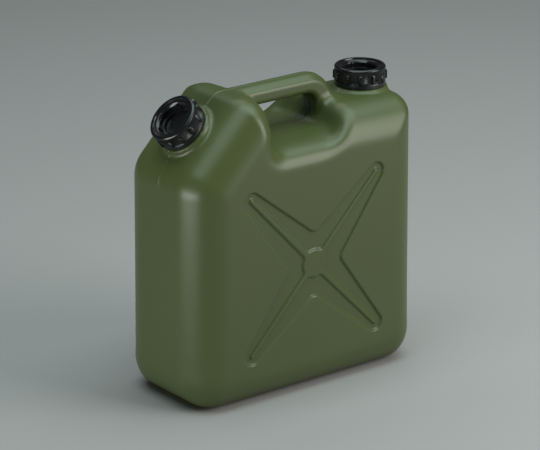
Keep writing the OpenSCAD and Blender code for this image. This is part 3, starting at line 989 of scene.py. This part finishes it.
def tank_plastic(colours):
    """Moulded polyethylene: satin, slightly uneven, with a fine grain."""
    finish = Finish("tank_plastic")
    cloud = finish.noise(9, detail=3)
    grain = finish.noise(1400, rough=0.6)
    speckle = finish.noise(420)
    wave = finish.noise(22, detail=1)
    swell = finish.bump(wave, 0.35 * MM, 0.5)
    skin = finish.bump(grain * 0.6 + speckle * 0.4, 0.06 * MM, 0.55, swell)
    return finish.set(
        Base_Color=finish.mixed(cloud, colours.tank, colours.tank_pale),
        Roughness=0.30 + speckle * 0.07 + cloud * 0.05,
        Normal=skin,
    )


def glossy(name, base, paler, roughness):
    """Injection-moulded plastic, faintly uneven, with a fine grain."""
    finish = Finish(name)
    cloud = finish.noise(60, detail=3)
    fine = finish.noise(900)
    return finish.set(
        Base_Color=finish.mixed(cloud, base, paler),
        Roughness=roughness + fine * 0.08,
        Normal=finish.bump(fine, 0.02 * MM, 0.35),
    )


def cap_plastic(colours):
    """Shiny black plastic."""
    return glossy("cap_plastic", colours.cap, [1.5 * c for c in colours.cap], 0.17)


def band_plastic(colours):
    """The same, a little duller."""
    return glossy("band_plastic", colours.band, [1.5 * c for c in colours.band], 0.26)


def seal_rubber(colours):
    """Soft grey rubber, matt and slightly rough."""
    finish = Finish("seal_rubber")
    cloud = finish.noise(120, detail=3)
    fine = finish.noise(1600)
    return finish.set(
        Base_Color=finish.mixed(cloud, colours.seal, [0.8 * c for c in colours.seal]),
        Roughness=0.62 + fine * 0.1,
        Normal=finish.bump(fine, 0.05 * MM, 0.6),
    )


def floor_paint(colours):
    """Plain matt paint."""
    finish = Finish("floor_paint")
    cloud = finish.noise(1.5)
    return finish.set(
        Base_Color=finish.mixed(cloud, colours.floor, [0.98 * c for c in colours.floor]), Roughness=0.8
    )


# ---- Studio -----------------------------------------------------------------------------------------


CAMERA_AIM = Vector((-3.84, 0, 163.64)) * MM
CAMERA_AZIMUTH, CAMERA_ELEVATION = math.radians(-37.76), math.radians(19.56)
CAMERA_DISTANCE = 3263.23 * MM
CAMERA_LENS, CAMERA_SENSOR = 207.05, 36
FLOOR_HALF = 12


def studio_world(colours):
    """Plain, dim surroundings."""
    world = bpy.data.worlds.new("studio")
    world.use_nodes = True
    world.node_tree.nodes["Background"].inputs["Color"].default_value = (*colours.surroundings, 1)
    return world


def soft_lamp(name, place, size, power, tint):
    """A lamp with a width and a height at a place, facing the can."""
    data = bpy.data.lights.new(name, "AREA")
    data.shape = "RECTANGLE"
    data.size, data.size_y = size
    data.energy = power
    data.color = tint
    lamp = bpy.data.objects.new(name, data)
    lamp.location = place
    lamp.visible_camera = False
    lamp.rotation_euler = (CAMERA_AIM - Vector(place)).to_track_quat("-Z", "Y").to_euler()
    bpy.context.scene.collection.objects.link(lamp)
    return lamp


def light_only(lamp, name, pieces):
    """Keeps the lamp's light off everything but the pieces."""
    lit = bpy.data.collections.new(name)
    for piece in pieces:
        lit.objects.link(piece)
    lamp.light_linking.receiver_collection = lit


def add_camera():
    """A camera that looks at the can from its pouring end, a little from above."""
    data = bpy.data.cameras.new("camera")
    data.lens = CAMERA_LENS
    data.sensor_width = CAMERA_SENSOR
    camera = bpy.data.objects.new("camera", data)
    flat = math.cos(CAMERA_ELEVATION)
    back = Vector(
        (math.sin(CAMERA_AZIMUTH) * flat, -math.cos(CAMERA_AZIMUTH) * flat, math.sin(CAMERA_ELEVATION))
    )
    camera.location = CAMERA_AIM + back * CAMERA_DISTANCE
    camera.rotation_euler = (-back).to_track_quat("-Z", "Y").to_euler()
    bpy.context.scene.collection.objects.link(camera)
    bpy.context.scene.camera = camera


class CAN_OT_studio(bpy.types.Operator):
    """Lay a plain floor, set soft lamps and the camera"""

    bl_idname = "can.studio"
    bl_label = "Studio"

    def execute(self, context):
        colours = context.scene.can_finish
        pieces = [piece for piece in context.scene.objects if piece.type == "MESH"]
        bm = bmesh.new()
        bmesh.ops.create_grid(bm, x_segments=1, y_segments=1, size=FLOOR_HALF)
        floor = new_object(bm, "floor")
        floor.data.materials.append(floor_paint(colours))
        context.scene.world = studio_world(colours)
        cool, warm, pale = (0.80, 1.0, 0.98), (1.0, 0.98, 0.94), (1.0, 1.0, 0.96)
        soft_lamp("top", place=(0.0, -0.2, 2.3), size=(3.3, 1.4), power=46, tint=cool)
        soft_lamp("front", place=(0.96, -1.44, 0.93), size=(1.1, 1.7), power=30, tint=warm)
        low = soft_lamp("low", place=(-1.046, -0.092, 0.135), size=(0.78, 0.26), power=5.4, tint=pale)
        light_only(low, "can", pieces)
        soft_lamp("back", place=(0.3, 1.25, 2.2), size=(2.0, 1.0), power=9, tint=(1.0, 1.0, 1.0))
        add_camera()
        context.scene.view_settings.view_transform = "Standard"
        return {"FINISHED"}


# ---- Panel and run ----------------------------------------------------------------------------------


class CAN_PT_panel(bpy.types.Panel):
    """Buttons and sizes for the fuel can"""

    bl_idname = "CAN_PT_panel"
    bl_label = "Fuel can"
    bl_space_type = "VIEW_3D"
    bl_region_type = "UI"
    bl_category = "Fuel can"

    def draw(self, context):
        for operator in OPERATORS:
            self.layout.operator(operator.bl_idname)
        for key in GROUPS:
            group = getattr(context.scene, key)
            for name in group.bl_rna.properties.keys():
                if name not in ("rna_type", "name"):
                    self.layout.prop(group, name)


GROUPS = {
    "can_tank": CAN_PG_tank,
    "can_grip": CAN_PG_grip,
    "can_cross": CAN_PG_cross,
    "can_closure": CAN_PG_closure,
    "can_finish": CAN_PG_finish,
}
OPERATORS = (CAN_OT_tank, CAN_OT_caps, CAN_OT_bands, CAN_OT_seals, CAN_OT_studio)


def register():
    for cls in (*GROUPS.values(), *OPERATORS, CAN_PT_panel):
        bpy.utils.register_class(cls)
    for key, group in GROUPS.items():
        setattr(bpy.types.Scene, key, bpy.props.PointerProperty(type=group))


def unregister():
    for key in GROUPS:
        delattr(bpy.types.Scene, key)
    for cls in (CAN_PT_panel, *reversed(OPERATORS), *reversed(GROUPS.values())):
        bpy.utils.unregister_class(cls)


def main():
    register()
    bpy.ops.can.tank()
    bpy.ops.can.caps()
    bpy.ops.can.bands()
    bpy.ops.can.seals()
    bpy.ops.can.studio()


if __name__ == "__main__":
    main()
